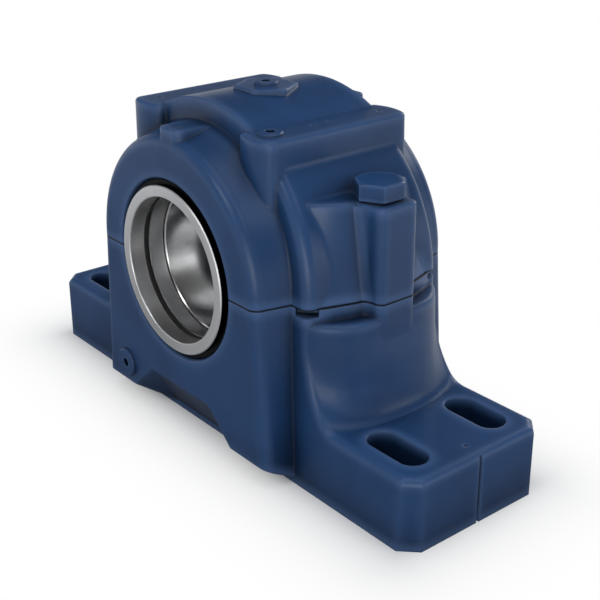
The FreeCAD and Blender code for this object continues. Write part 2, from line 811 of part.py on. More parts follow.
def roller_angles(side):
    shift = 0.0 if side < 0 else 180.0 / roller_count
    return [360.0 * step / roller_count + shift for step in range(roller_count)]


def roller_row(side):
    barrel = roller_solid(0.0, roller_length)
    return Part.makeCompound([place_roller(barrel, side, a) for a in roller_angles(side)])


# Inner ring with two raceways, a plain middle and small end ribs
def inner_ring():
    w = bearing_half_width
    e = ring_edge
    ring = turned([(inner_bore_radius(-w), -w), (inner_rib_radius - e, -w), (inner_rib_radius, -w + e),
                   (inner_rib_radius, w - e), (inner_rib_radius - e, w), (inner_bore_radius(w), w)])
    for side in (-1, 1):
        ring = ring.cut(raceway(side))
    return ring


# Space swept by one roller row around the shaft line
def raceway(side):
    pitch = sphere_radius - roller_radius
    tilt = math.radians(contact_angle)
    half = roller_length / 2.0 + 0.25
    centre = (pitch * math.cos(tilt), side * pitch * math.sin(tilt))
    def spot(offset, depth):
        a = centre[0] - depth * math.cos(tilt) - side * offset * math.sin(tilt)
        b = centre[1] - depth * math.sin(tilt) * side + offset * math.cos(tilt)
        return vec(a, b, centre_height)
    reach = roller_radius
    end_depth = roller_profile(half, roller_play)
    points = [spot(-half, -reach), spot(-half, end_depth), spot(0, reach), spot(half, end_depth), spot(half, -reach)]
    wire = wire_from(points, [(0, 1), (1, 2, 3), (3, 4), (4, 0)])
    return Part.Face(wire).revolve(bore_centre, along_shaft, 360)


# Comb cage: one rail at the outer end of the row and a bar between each two rollers
def cage(side):
    band = turned([(cage_bar_inner, cage_start), (cage_bar_outer, cage_start),
                   (cage_rail_outer, cage_end), (cage_rail_inner, cage_end),
                   (cage_rail_inner, cage_rail), (cage_bar_inner - 1.0, cage_rail)])
    if side < 0:
        band = mirrored_y(band)
    pocket = roller_solid(cage_pocket_clearance, roller_length + 2.0 * cage_pocket_clearance)
    return band.cut([place_roller(pocket, side, a) for a in roller_angles(side)])


def guide_ring():
    near = guide_inner_half_width
    wide = guide_outer_half_width
    return turned([(guide_inner, -near), (guide_outer, -wide), (guide_outer, wide), (guide_inner, near)])


# Slit sleeve: threaded end at the front, taper under the bearing, shaft bore inside
def sleeve():
    front = -sleeve_front
    rear = front + sleeve_length
    w = bearing_half_width
    e = sleeve_chamfer
    tube = turned([(shaft_radius + e, front), (inner_bore_small - e, front),
                   (inner_bore_small, front + e), (inner_bore_small, -w),
                   (inner_bore_radius(rear - e), rear - e), (inner_bore_radius(rear) - e, rear),
                   (shaft_radius + e, rear), (shaft_radius, rear - e), (shaft_radius, front + e)])
    slit = block(0, 60.0, front - 1.0, rear + 1.0,
                 centre_height - sleeve_slit / 2.0, centre_height + sleeve_slit / 2.0)
    slit.rotate(bore_centre, along_shaft, sleeve_slit_angle)
    return tube.cut(slit)


# Tabbed washer between the nut and the inner ring, one tab bent into a nut slot
def lock_washer():
    y1 = -bearing_half_width
    y0 = y1 - lock_washer_thickness
    half = lock_washer_tab_width / 2.0
    disc = bore_rod(lock_washer_disc, y0, y1).cut(bore_rod(inner_bore_small, y0 - 1.0, y1 + 1.0))
    tabs = []
    for step in range(1, lock_tab_count):
        tab = block(-half, half, y0, y1, centre_height + lock_washer_disc - 2.0,
                    centre_height + lock_washer_tab_tip)
        tab.rotate(bore_centre, along_shaft, 360.0 * step / lock_tab_count)
        tabs.append(tab)
    floor = centre_height + nut_outer - nut_slot_depth
    bent = block(-half, half, y0 - 6.0, y1, floor + 0.3, floor + 0.3 + lock_washer_thickness)
    neck = block(-half, half, y0, y1, centre_height + lock_washer_disc - 2.0, floor + 1.0)
    return fuse_all([disc, bent, neck] + tabs)


def lock_nut():
    y1 = -bearing_half_width - lock_washer_thickness
    y0 = y1 - nut_width
    e = nut_edge
    nut = turned([(inner_bore_small, y0), (nut_outer - e, y0), (nut_outer, y0 + e), (nut_outer, y1 - e),
                  (nut_outer - e, y1), (inner_bore_small, y1)])
    for step in range(4):
        slot = block(-nut_slot_width / 2.0, nut_slot_width / 2.0, y0 - 1.0, y1 + 1.0,
                     centre_height + nut_outer - nut_slot_depth, centre_height + nut_outer + 5.0)
        slot.rotate(bore_centre, along_shaft, 90.0 * step)
        nut = nut.cut(slot)
    return nut


def locating_ring(side):
    y0 = side * bearing_half_width
    y1 = side * seat_half_width
    ring = bore_rod(seat_radius, min(y0, y1), max(y0, y1))
    ring = ring.cut(bore_rod(locating_inner, -seat_half_width - 1.0, seat_half_width + 1.0))
    reach = 120.0
    half = math.radians(locating_gap_angle / 2.0)
    wedge = polygon_face([vec(0, -seat_half_width - 1.0, centre_height),
                          vec(reach * math.sin(half), -seat_half_width - 1.0, centre_height + reach * math.cos(half)),
                          vec(-reach * math.sin(half), -seat_half_width - 1.0, centre_height + reach * math.cos(half))])
    return ring.cut(wedge.extrude(vec(0, 2.0 * seat_half_width + 2.0, 0)))


# Labyrinth ring: face lip, two fins running beside the housing rib, plain skirt
def seal_ring(side):
    e = seal_edge
    face = -seal_face
    lip = face + seal_lip_width
    fin1 = -(seal_rib_station + seal_rib_width / 2.0 + seal_fin_gap)
    fin2 = -(seal_rib_station - seal_rib_width / 2.0 - seal_fin_gap)
    points = [(seal_bore, face + e), (seal_bore + e, face), (seal_lip_radius - e, face),
              (seal_lip_radius, face + e), (seal_lip_radius, lip), (seal_body_radius, lip),
              (seal_body_radius, fin1 - seal_fin_width), (seal_fin_radius, fin1 - seal_fin_width),
              (seal_fin_radius, fin1), (seal_body_radius, fin1), (seal_body_radius, fin2),
              (seal_fin_radius, fin2), (seal_fin_radius, fin2 + seal_fin_width),
              (seal_body_radius + 1.0, fin2 + seal_fin_width), (seal_body_radius + 1.0, -seal_inner_end - e),
              (seal_body_radius + 1.0 - e, -seal_inner_end), (seal_bore + e, -seal_inner_end),
              (seal_bore, -seal_inner_end - e)]
    ring = turned(points)
    half = cord_radius + 0.1
    groove = bore_rod(seal_bore + cord_groove_depth, -cord_station - half, -cord_station + half)
    ring = ring.cut(groove)
    return ring if side < 0 else mirrored_y(ring)


def seal_cord(side):
    centre = vec(0, side * cord_station, centre_height)
    return Part.makeTorus(seal_bore + cord_radius - 0.05, cord_radius, centre, along_shaft)


nodes = {
    "housing_base": make_base,
    "housing_cap": make_cap,
    "cap_bolt_left": lambda: cap_bolt(-1),
    "cap_bolt_right": lambda: cap_bolt(1),
    "cap_washer_left": lambda: cap_washer(-1),
    "cap_washer_right": lambda: cap_washer(1),
    "dowel_rear": lambda: dowel(0),
    "dowel_front": lambda: dowel(1),
    "grease_plug_top": lambda: grease_plug(0, 0, top_pad_top),
    "grease_plug_ridge": lambda: grease_plug(ridge_plug_x, ridge_plug_y, ridge_top),
    "drain_plug": drain_plug,
    "locating_ring_front": lambda: locating_ring(-1),
    "locating_ring_rear": lambda: locating_ring(1),
    "bearing_outer_ring": outer_ring,
    "bearing_inner_ring": inner_ring,
    "roller_row_front": lambda: roller_row(-1),
    "roller_row_rear": lambda: roller_row(1),
    "cage_front": lambda: cage(-1),
    "cage_rear": lambda: cage(1),
    "guide_ring": guide_ring,
    "adapter_sleeve": sleeve,
    "lock_washer": lock_washer,
    "lock_nut": lock_nut,
    "seal_ring_front": lambda: seal_ring(-1),
    "seal_ring_rear": lambda: seal_ring(1),
    "seal_cord_front": lambda: seal_cord(-1),
    "seal_cord_rear": lambda: seal_cord(1),
}

os.makedirs("parts", exist_ok=True)
for name, maker in nodes.items():
    shape = maker()
    shape.exportStep("parts/%s.step" % name)
    box = shape.BoundBox
    print("%-22s solids %d valid %s  x %.1f..%.1f  y %.1f..%.1f  z %.1f..%.1f  volume %.0f"
          % (name, len(shape.Solids), shape.isValid(), box.XMin, box.XMax, box.YMin, box.YMax,
             box.ZMin, box.ZMax, shape.Volume))
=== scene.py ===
# %% [markdown]
# # Dressing a split plummer block
# A plummer block is a heavy cast house that holds the bearing of a shaft.
# Its shapes are exact solids that come from the frame, so this lesson is about finish:
# sprayed satin paint on castings, turned and ground steel, moulded rubber, soft light.
# Every finish is worked out from the place of a point on the piece, so nothing is unwrapped
# and no picture is needed, and the same material fits a piece of any shape.

import math

import bpy
from mathutils import Matrix, Vector

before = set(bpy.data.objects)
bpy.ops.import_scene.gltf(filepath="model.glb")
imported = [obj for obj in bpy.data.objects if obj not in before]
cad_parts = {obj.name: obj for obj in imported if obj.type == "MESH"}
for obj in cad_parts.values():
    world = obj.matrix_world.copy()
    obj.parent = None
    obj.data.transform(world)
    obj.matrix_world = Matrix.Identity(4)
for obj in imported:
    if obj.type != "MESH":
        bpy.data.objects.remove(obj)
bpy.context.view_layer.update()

# %% [markdown]
# ## Small helpers for shader trees
# A shader is a tree of small boxes joined by links, and writing one box takes several lines.
# Four helpers keep the cells short: one sets or links a socket, one adds a box, one does
# arithmetic and one stretches a value from one range to another.

# %% Helpers that place and join boxes
def feed(tree, socket, value):
    if isinstance(value, bpy.types.NodeSocket):
        tree.links.new(value, socket)
    else:
        socket.default_value = value


def put(tree, kind, sockets=None, **settings):
    node = tree.nodes.new(kind)
    for name, value in settings.items():
        setattr(node, name, value)
    for name, value in (sockets or {}).items():
        feed(tree, node.inputs[name], value)
    return node


def reckon(tree, operation, *values, clamp=False):
    node = put(tree, "ShaderNodeMath", operation=operation, use_clamp=clamp)
    for place, value in enumerate(values):
        feed(tree, node.inputs[place], value)
    return node.outputs[0]


def stretch(tree, value, low, high, to_low=0.0, to_high=1.0, soft=False):
    node = put(tree, "ShaderNodeMapRange", {
        "Value": value, "From Min": low, "From Max": high, "To Min": to_low, "To Max": to_high,
    }, interpolation_type="SMOOTHSTEP" if soft else "LINEAR")
    return node.outputs["Result"]


# %% [markdown]
# Colours meet in a Mix box. Its sockets share their names between numbers, vectors and colours,
# so the colour ones are picked by their place. Noise is the other box that comes back
# everywhere, because no real surface is even. Most of its values lie near the middle.

# %% Helpers that mix colours and read noise
MIX_FACTOR, MIX_FIRST, MIX_SECOND, MIX_RESULT = 0, 6, 7, 2
NOISE_SPREAD = (0.3, 0.7)


def mix_colours(tree, factor, first, second, way="MIX"):
    node = put(tree, "ShaderNodeMix", data_type="RGBA", blend_type=way)
    feed(tree, node.inputs[MIX_FACTOR], factor)
    feed(tree, node.inputs[MIX_FIRST], first)
    feed(tree, node.inputs[MIX_SECOND], second)
    return node.outputs[MIX_RESULT]


def noise(tree, where, scale, detail=2.0, roughness=0.5, distortion=0.0):
    node = put(tree, "ShaderNodeTexNoise", {
        "Vector": where, "Scale": scale, "Detail": detail, "Roughness": roughness,
        "Distortion": distortion,
    })
    return node.outputs["Fac"]


# %% [markdown]
# ## Shared effects as node groups
# Paint, steel and rubber share a few effects: rounded edges, the skin of a casting, the fine
# rings that a lathe leaves, smears of oil. Each one is a group, built once, with its own named
# inputs. A group gives out only values, masks and normals, and each material makes its own
# shader from them.

# %% Helpers that open a group and use it
NUMBER, VECTOR = "NodeSocketFloat", "NodeSocketVector"


def open_group(title, inputs, outputs):
    group = bpy.data.node_groups.new(title, "ShaderNodeTree")
    for name, value in inputs.items():
        socket = group.interface.new_socket(name=name, in_out="INPUT", socket_type=NUMBER)
        socket.default_value = value
    for name, kind in outputs.items():
        group.interface.new_socket(name=name, in_out="OUTPUT", socket_type=kind)
    given = group.nodes.new("NodeGroupInput").outputs
    result = group.nodes.new("NodeGroupOutput").inputs
    return group, given, result


def use(tree, group, **values):
    node = put(tree, "ShaderNodeGroup", node_tree=group)
    for name, value in values.items():
        feed(tree, node.inputs[name], value)
    return node.outputs


# %% [markdown]
# ### Rounded edges and hollow corners
# No edge of a casting or a turned part is a true corner. A Bevel node looks at the surface
# around a point and gives a normal that turns gently over the edge, so a sharp solid catches
# light like a rounded one. Ambient Occlusion nodes tell the kinds of corner apart: rays sent
# into the metal soon come out near an outer edge, where the paint gets a painted highlight, and
# rays sent outward are soon stopped in a hollow corner or in a wider sheltered place, where the
# paint gets painted shade. Each pair of values says how open a point is where its mask
# starts, and how open it is where the mask is full.

# %% Group: edges and hollows
RAYS = 6
RADII_DEEP = 3.0
EDGE_FADE = (0.95, 0.55)
HOLLOW_FADE = (0.95, 0.35)
SHELTER_FADE = (0.90, 0.35)

edge_group, given, result = open_group(
    "edges and hollows", {"Radius": 0.001, "Reach": 0.010, "Depth": 0.045},
    {"Normal": VECTOR, "Edge": NUMBER, "Hollow": NUMBER, "Shelter": NUMBER})


def openness(reach, inside=False):
    node = put(edge_group, "ShaderNodeAmbientOcclusion", {"Distance": reach},
               inside=inside, samples=RAYS)
    return node.outputs["AO"]


bevel = put(edge_group, "ShaderNodeBevel", {"Radius": given["Radius"]}, samples=RAYS)
inward = openness(reckon(edge_group, "MULTIPLY", given["Radius"], RADII_DEEP), inside=True)
outward = openness(given["Reach"])
around = openness(given["Depth"])
feed(edge_group, result["Normal"], bevel.outputs["Normal"])
feed(edge_group, result["Edge"], stretch(edge_group, inward, *EDGE_FADE))
feed(edge_group, result["Hollow"], stretch(edge_group, outward, *HOLLOW_FADE))
feed(edge_group, result["Shelter"], stretch(edge_group, around, *SHELTER_FADE, soft=True))
print("edges and hollows:", len(edge_group.nodes), "boxes")

# %% [markdown]
# ### The skin of a painted casting
# Sand leaves a casting faintly lumpy, and sprayed paint lays an even finer orange peel over it.
# Noises of different size follow that: clouds as wide as a hand for tone, lumps of a few
# millimetres for the sand, a fine grain for the paint, and specks that are a little more matt.

# %% Group: cast skin
CLOUDS_PER_METRE, SPECKS_PER_METRE = 16.0, 520.0
LUMP_SHARE = 0.75
SPECK_RANGE = (0.60, 0.74)

skin_group, given, result = open_group(
    "cast skin", {"Lump": 0.006, "Grain": 0.0011},
    {"Height": NUMBER, "Cloud": NUMBER, "Speck": NUMBER})
place = put(skin_group, "ShaderNodeTexCoord").outputs["Object"]
per_lump = reckon(skin_group, "DIVIDE", 1.0, given["Lump"])
per_grain = reckon(skin_group, "DIVIDE", 1.0, given["Grain"])
lumps = noise(skin_group, place, per_lump, detail=3.0, roughness=0.55)
grain = noise(skin_group, place, per_grain)
cloud = noise(skin_group, place, CLOUDS_PER_METRE, detail=4.0, roughness=0.6, distortion=0.6)
speck = noise(skin_group, place, SPECKS_PER_METRE, roughness=0.65)
deep = reckon(skin_group, "MULTIPLY", lumps, LUMP_SHARE)
fine = reckon(skin_group, "MULTIPLY", grain, 1.0 - LUMP_SHARE)
feed(skin_group, result["Height"], reckon(skin_group, "ADD", deep, fine))
feed(skin_group, result["Cloud"], stretch(skin_group, cloud, *NOISE_SPREAD, soft=True))
feed(skin_group, result["Speck"], stretch(skin_group, speck, *SPECK_RANGE, soft=True))
print("cast skin:", len(skin_group.nodes), "boxes")

# %% [markdown]
# ### The line where the house splits
# Cap and base meet on a machined joint at the height of the shaft. The two castings touch, and
# the tiny chamfers on both sides catch no light, so the joint reads as a dark hairline. It
# could be cut into both meshes as a groove. A mask by height leaves the shapes alone, draws it
# in the same place on both castings, and lets it fade into the paint.

# %% Group: joint line
SHAFT_HEIGHT = 0.095

joint_group, given, result = open_group(
    "joint line", {"Joint Height": SHAFT_HEIGHT, "Half Width": 0.0003}, {"Line": NUMBER})
place = put(joint_group, "ShaderNodeTexCoord").outputs["Object"]
height = put(joint_group, "ShaderNodeSeparateXYZ", {"Vector": place}).outputs["Z"]
above = reckon(joint_group, "SUBTRACT", height, given["Joint Height"])
away = reckon(joint_group, "ABSOLUTE", above)
twice = reckon(joint_group, "MULTIPLY", given["Half Width"], 2.0)
feed(joint_group, result["Line"], stretch(joint_group, away, given["Half Width"], twice, 1.0, 0.0))
print("joint line:", len(joint_group.nodes), "boxes")

# %% [markdown]
# ### The rings that a lathe leaves
# A turning tool moves along while the part spins, so its marks are rings round the shaft.
# Distance from the shaft and place along it are the only two numbers that matter. A face that
# looks along the shaft takes its rings from the distance, and a bore takes its bands from the
# place along it, so the distance is scaled by how far the surface faces along the shaft. Cut
# as real grooves, marks of a few thousandths of a millimetre would need millions of faces.

# %% Group: turned marks, where a point lies
turned_group, given, result = open_group(
    "turned marks", {"Axis Height": SHAFT_HEIGHT, "Pitch": 0.0004},
    {"Height": NUMBER, "Band": NUMBER, "Smear": NUMBER, "Radius": NUMBER, "Along": NUMBER})
source = put(turned_group, "ShaderNodeTexCoord").outputs
apart = put(turned_group, "ShaderNodeSeparateXYZ", {"Vector": source["Object"]}).outputs
facing = put(turned_group, "ShaderNodeSeparateXYZ", {"Vector": source["Normal"]}).outputs
rise = reckon(turned_group, "SUBTRACT", apart["Z"], given["Axis Height"])
square = reckon(turned_group, "MULTIPLY", rise, rise)
radius = reckon(turned_group, "SQRT", reckon(
    turned_group, "MULTIPLY_ADD", apart["X"], apart["X"], square))
endways = reckon(turned_group, "ABSOLUTE", facing["Y"])
feed(turned_group, result["Radius"], radius)
feed(turned_group, result["Along"], reckon(turned_group, "ABSOLUTE", apart["Y"]))

# %% [markdown]
# Three noises use those numbers. One is as fine as the feed of the tool and raises the marks,
# one makes broad bands of tone, and one ignores the lathe and smears the gloss like a wiped hand.

# %% Group: turned marks, the marks
BANDS_PER_METRE, SMEARS_PER_METRE = 190.0, 42.0
SMEAR_RANGE = (0.35, 0.7)

rings = put(turned_group, "ShaderNodeCombineXYZ", {
    "X": reckon(turned_group, "MULTIPLY", radius, endways), "Y": apart["Y"], "Z": 0.0}).outputs[0]
per_pitch = reckon(turned_group, "DIVIDE", 1.0, given["Pitch"])
marks = noise(turned_group, rings, per_pitch, roughness=0.6)
bands = noise(turned_group, rings, BANDS_PER_METRE, detail=3.0, roughness=0.6)
smears = noise(turned_group, source["Object"], SMEARS_PER_METRE,
               detail=4.0, roughness=0.6, distortion=1.2)
feed(turned_group, result["Height"], marks)
feed(turned_group, result["Band"], bands)
feed(turned_group, result["Smear"], stretch(turned_group, smears, *SMEAR_RANGE, soft=True))
print("turned marks:", len(turned_group.nodes), "boxes")

# %% [markdown]
# ### Grease and shop dust
# Steel inside a bearing is never clean: a thin film of grease gathers in patches, and it is
# smoother and darker than the dry metal. One noise makes the patches, a finer one the dust.
# More grease lowers the level that the noise has to pass, so the patches grow. So thin a film
# needs no layer of its own: it is enough that each steel mixes its colour by this mask.

# %% Group: grease film
PATCHES_PER_METRE, DUST_PER_METRE = 60.0, 900.0
DRY_LEVEL = 0.85
LEVEL_DROP = 0.5
PATCH_RIM = 0.10
DUST_RANGE = (0.45, 0.75)

grease_group, given, result = open_group(
    "grease film", {"Amount": 0.5}, {"Film": NUMBER, "Dust": NUMBER})
place = put(grease_group, "ShaderNodeTexCoord").outputs["Object"]
patch = noise(grease_group, place, PATCHES_PER_METRE, detail=5.0, roughness=0.62, distortion=0.9)
dust = noise(grease_group, place, DUST_PER_METRE, roughness=0.7)
drop = reckon(grease_group, "MULTIPLY", given["Amount"], LEVEL_DROP)
level = reckon(grease_group, "SUBTRACT", DRY_LEVEL, drop)
full = reckon(grease_group, "ADD", level, PATCH_RIM)
feed(grease_group, result["Film"], stretch(grease_group, patch, level, full, soft=True))
feed(grease_group, result["Dust"], stretch(grease_group, dust, *DUST_RANGE))
print("groups:", [group.name for group in bpy.data.node_groups])

# %% [markdown]
# ## Opening a material
# Each finish starts the same way: a fresh material with one Principled shader. Its bumps come
# from a height, laid over the normal that already turns round the edges.

# %% Helpers that open a material and raise its skin
SURFACE = {}


def open_material(slot, **values):
    material = bpy.data.materials.new(slot.replace("_", " "))
    material.use_nodes = True
    tree = material.node_tree
    tree.nodes.clear()
    shader = put(tree, "ShaderNodeBsdfPrincipled", values)
    leaving = put(tree, "ShaderNodeOutputMaterial")
    tree.links.new(shader.outputs["BSDF"], leaving.inputs["Surface"])
    SURFACE[slot] = material
    return tree, shader


def raise_skin(tree, shader, height, rise, strength, normal):
    bump = put(tree, "ShaderNodeBump", {
        "Height": height, "Distance": rise, "Strength": strength, "Normal": normal})
    tree.links.new(bump.outputs["Normal"], shader.inputs["Normal"])


# %% [markdown]
# ## Satin paint on the castings
# The house is sprayed in one dark blue. Real satin paint is not one blue: its tone drifts in
# clouds and its gloss wanders. Over those clouds a paler blue is laid on outer edges as a painted
# highlight, and a deeper blue in hollow corners and sheltered places as painted shade. Painting
# such marks on a picture by hand would fit one shape only. Here each mask from the groups lays
# its own blue wherever the shape asks it.

# %% Paint
PAINT_DEEP = (0.0115, 0.0450, 0.130, 1.0)
PAINT_PALE = (0.0155, 0.0580, 0.166, 1.0)
# A paler blue for outer edges: a painted highlight.
PAINT_EDGE_HIGHLIGHT = (0.0750, 0.1450, 0.310, 1.0)
# A near-black blue for hollow corners and sheltered places: painted shade.
PAINT_SHADE = (0.0020, 0.0055, 0.016, 1.0)
JOINT_DARK = (0.0020, 0.0040, 0.009, 1.0)
HOLLOW_SHADE_SHARE = 0.90
SHELTER_SHADE_SHARE = 0.70
EDGE_HIGHLIGHT_SHARE = 0.62
PAINT_SHEEN = 0.36
PAINT_SWING = 0.03
SPECK_ROUGHNESS = 0.05
PEEL_RISE, PEEL_STRENGTH = 0.00022, 0.30


def spray(slot, tone, gloss, edge_radius, lump, with_joint=False):
    tree, shader = open_material(slot, **{"Specular IOR Level": PAINT_SHEEN})
    edges = use(tree, edge_group, Radius=edge_radius)
    skin = use(tree, skin_group, Lump=lump)
    colour = mix_colours(tree, skin["Cloud"], PAINT_DEEP, PAINT_PALE)
    colour = mix_colours(tree, 1.0, colour, (tone, tone, tone, 1.0), "MULTIPLY")
    # Painted shade goes into hollows and sheltered places, then a painted highlight onto outer
    # edges.
    for mask, share, tint in (("Hollow", HOLLOW_SHADE_SHARE, PAINT_SHADE),
                              ("Shelter", SHELTER_SHADE_SHARE, PAINT_SHADE),
                              ("Edge", EDGE_HIGHLIGHT_SHARE, PAINT_EDGE_HIGHLIGHT)):
        colour = mix_colours(tree, reckon(tree, "MULTIPLY", edges[mask], share), colour, tint)
    if with_joint:
        colour = mix_colours(tree, use(tree, joint_group)["Line"], colour, JOINT_DARK)
    feed(tree, shader.inputs["Base Color"], colour)
    rough = stretch(tree, skin["Cloud"], 0.0, 1.0, gloss + PAINT_SWING, gloss - PAINT_SWING)
    feed(tree, shader.inputs["Roughness"], reckon(
        tree, "MULTIPLY_ADD", skin["Speck"], SPECK_ROUGHNESS, rough))
    raise_skin(tree, shader, skin["Height"], PEEL_RISE, PEEL_STRENGTH, edges["Normal"])


# %% [markdown]
# Each of the four painted finishes has its own small differences, because the castings are
# sprayed before the bolts and plugs are, and only the castings have the joint.

# %% Painted pieces
spray("base_paint", tone=1.00, gloss=0.35, edge_radius=0.0022, lump=0.0060, with_joint=True)
spray("cap_paint", tone=1.02, gloss=0.34, edge_radius=0.0022, lump=0.0065, with_joint=True)
spray("bolt_paint", tone=1.06, gloss=0.32, edge_radius=0.0007, lump=0.0030)
spray("plug_paint", tone=0.98, gloss=0.34, edge_radius=0.0004, lump=0.0020)
print("painted:", sorted(SURFACE))

# %% [markdown]
# ## Turned and ground steel
# Rings, sleeve and nut come off a lathe or a grinder. Light on such a face is stretched across
# the marks, which is why a bore shows long bright streaks. The shader's Anisotropic value does
# this when it is given a tangent that runs round the shaft.
#
# Three helpers serve all steel. Bare steel is a grey with a breath of blue, an edge that is
# handled is rubbed a little brighter, and oil darkens the patches that it covers.

# %% Helpers for bare steel
OIL = (0.10, 0.085, 0.06, 1.0)
WORN_LIFT = 1.10


def grey(level, blue=0.01):
    return (level, level, level + blue, 1.0)


def rubbed(colour):
    red, green, blue = [min(1.0, WORN_LIFT * part) for part in colour[:3]]
    return (red, green, blue, 1.0)


def oiled(tree, film, share, colour):
    return mix_colours(tree, reckon(tree, "MULTIPLY", film["Film"], share), colour, OIL)


print("plain grey:", grey(0.50), "rubbed:", [round(part, 3) for part in rubbed(grey(0.50))])

# %% [markdown]
# A turned finish takes its bands of tone, its smears and its raised rings from the group of
# turned marks. A piece that wears more than one tone passes a function that adds the others.

# %% Turned metal
WORN = 0.5
TURNED_OIL = 0.22
SMEAR_ROUGHNESS, DUST_ROUGHNESS = 0.02, 0.08
MARK_STRENGTH = 0.35


def turn_metal(slot, dull, bright, gloss, pitch, depth, stretched, edge_radius, grease=0.0,
               two_tone=None):
    tree, shader = open_material(slot, **{"Metallic": 1.0, "Anisotropic": stretched})
    edges = use(tree, edge_group, Radius=edge_radius)
    marks = use(tree, turned_group, Pitch=pitch)
    film = use(tree, grease_group, Amount=grease)
    colour = mix_colours(tree, stretch(tree, marks["Band"], *NOISE_SPREAD), dull, bright)
    worn = reckon(tree, "MULTIPLY", edges["Edge"], WORN)
    colour = mix_colours(tree, worn, colour, rubbed(bright))
    colour = oiled(tree, film, TURNED_OIL, colour)
    if two_tone:
        colour, gloss = two_tone(tree, marks, colour, gloss)
    feed(tree, shader.inputs["Base Color"], colour)
    rough = reckon(tree, "MULTIPLY_ADD", marks["Smear"], SMEAR_ROUGHNESS, gloss)
    feed(tree, shader.inputs["Roughness"], reckon(
        tree, "MULTIPLY_ADD", film["Dust"], DUST_ROUGHNESS * grease, rough))
    raise_skin(tree, shader, marks["Height"], depth, MARK_STRENGTH, edges["Normal"])
    round_shaft = put(tree, "ShaderNodeTangent", direction_type="RADIAL", axis="Y")
    tree.links.new(round_shaft.outputs["Tangent"], shader.inputs["Tangent"])


# %% [markdown]
# The seal ring stands in the mouth of the hub. Its outer side is painted near black, a painted
# shade for the gap round it inside the hub, its bore is ground bright, and its face between them
# is plain turned metal. Three materials on three sets of faces would do it, but the ring comes
# with one slot, so distance from the shaft tells the three apart, and the painted shade stops
# short of the face.

# %% Seal ring
COLLAR_RADIUS = 0.0405
COLLAR_END = 0.0626
COLLAR_SHADE = (0.012, 0.012, 0.013, 1.0)
LINING_RADIUS = 0.0384
LINING_BRIGHT = grey(0.92, 0.0)
LINING_GLOSS = 0.24
TONE_FADE = 0.0002


def ring_tones(tree, marks, colour, gloss):
    beyond = stretch(tree, marks["Radius"], COLLAR_RADIUS, COLLAR_RADIUS + TONE_FADE)
    behind = stretch(tree, marks["Along"], COLLAR_END, COLLAR_END - TONE_FADE)
    # Painted shade: the ring's outer side turns near black.
    collar_shaded = reckon(tree, "MULTIPLY", beyond, behind)
    colour = mix_colours(tree, collar_shaded, colour, COLLAR_SHADE)
    lining = stretch(tree, marks["Radius"], LINING_RADIUS, LINING_RADIUS - TONE_FADE)
    colour = mix_colours(tree, lining, colour, LINING_BRIGHT)
    return colour, stretch(tree, lining, 0.0, 1.0, gloss, LINING_GLOSS)


turn_metal("seal_ring_metal", grey(0.74), grey(0.86), gloss=0.42, pitch=0.0005, depth=0.00003,
           stretched=0.50, edge_radius=0.0002, two_tone=ring_tones)
print("seal ring:", SURFACE["seal_ring_metal"].name)

# %% [markdown]
# The sleeve's bore is ground smooth to take the shaft, so it has the least roughness of the
# turned pieces that show. Bearing rings are ground and greased, nut and iron rings are coarser,
# and the washers under the painted bolts are a near-black blue.

# %% Sleeve, bearing and iron rings
turn_metal("sleeve_steel", grey(0.93, 0.0), grey(0.98, 0.0), gloss=0.15, pitch=0.0007,
           depth=0.000004, stretched=0.70, edge_radius=0.0002)
turn_metal("bearing_steel", grey(0.58, 0.02), grey(0.74, 0.02), gloss=0.16, pitch=0.0003,
           depth=0.00001, stretched=0.40, edge_radius=0.0004, grease=0.60)
turn_metal("nut_steel", grey(0.10), grey(0.17), gloss=0.40, pitch=0.0006, depth=0.00003,
           stretched=0.30, edge_radius=0.0006, grease=0.50)
turn_metal("locating_iron", grey(0.24), grey(0.34), gloss=0.45, pitch=0.0006, depth=0.00003,
           stretched=0.30, edge_radius=0.0005, grease=0.60)
turn_metal("guide_iron", grey(0.22), grey(0.31), gloss=0.50, pitch=0.0004, depth=0.00002,
           stretched=0.20, edge_radius=0.0004, grease=0.60)
turn_metal("washer_steel", (0.016, 0.022, 0.034, 1.0), (0.030, 0.038, 0.055, 1.0), gloss=0.55,
           pitch=0.0005, depth=0.00002, stretched=0.10, edge_radius=0.0004, grease=0.40)
print("finishes so far:", len(SURFACE))

# %% [markdown]
# ## Pressed, drawn and polished steel
# Cages and the lock washer are cut from sheet, rollers are polished, dowels are ground along
# their own axis. Rings round the shaft and a stretched highlight would be wrong on all of
# them, so their marks are plain fine noise and the gloss does the telling.

# %% Sheet and roller finishes
GRAIN_SHARE = 0.2
PRESSED_OIL, PRESSED_DUST = 0.25, 0.04
DULL_SWING, BRIGHT_SWING = 0.04, 0.03
PRESSED_STRENGTH = 0.30


def press_metal(slot, dull, bright, gloss, size, depth, edge_radius, grease):
    tree, shader = open_material(slot, **{"Metallic": 1.0})
    edges = use(tree, edge_group, Radius=edge_radius)
    skin = use(tree, skin_group, Lump=size, Grain=size * GRAIN_SHARE)
    film = use(tree, grease_group, Amount=grease)
    colour = mix_colours(tree, skin["Cloud"], dull, bright)
    feed(tree, shader.inputs["Base Color"], oiled(tree, film, PRESSED_OIL, colour))
    rough = stretch(tree, skin["Cloud"], 0.0, 1.0, gloss + DULL_SWING, gloss - BRIGHT_SWING)
    feed(tree, shader.inputs["Roughness"], reckon(
        tree, "MULTIPLY_ADD", film["Dust"], PRESSED_DUST, rough))
    raise_skin(tree, shader, skin["Height"], depth, PRESSED_STRENGTH, edges["Normal"])


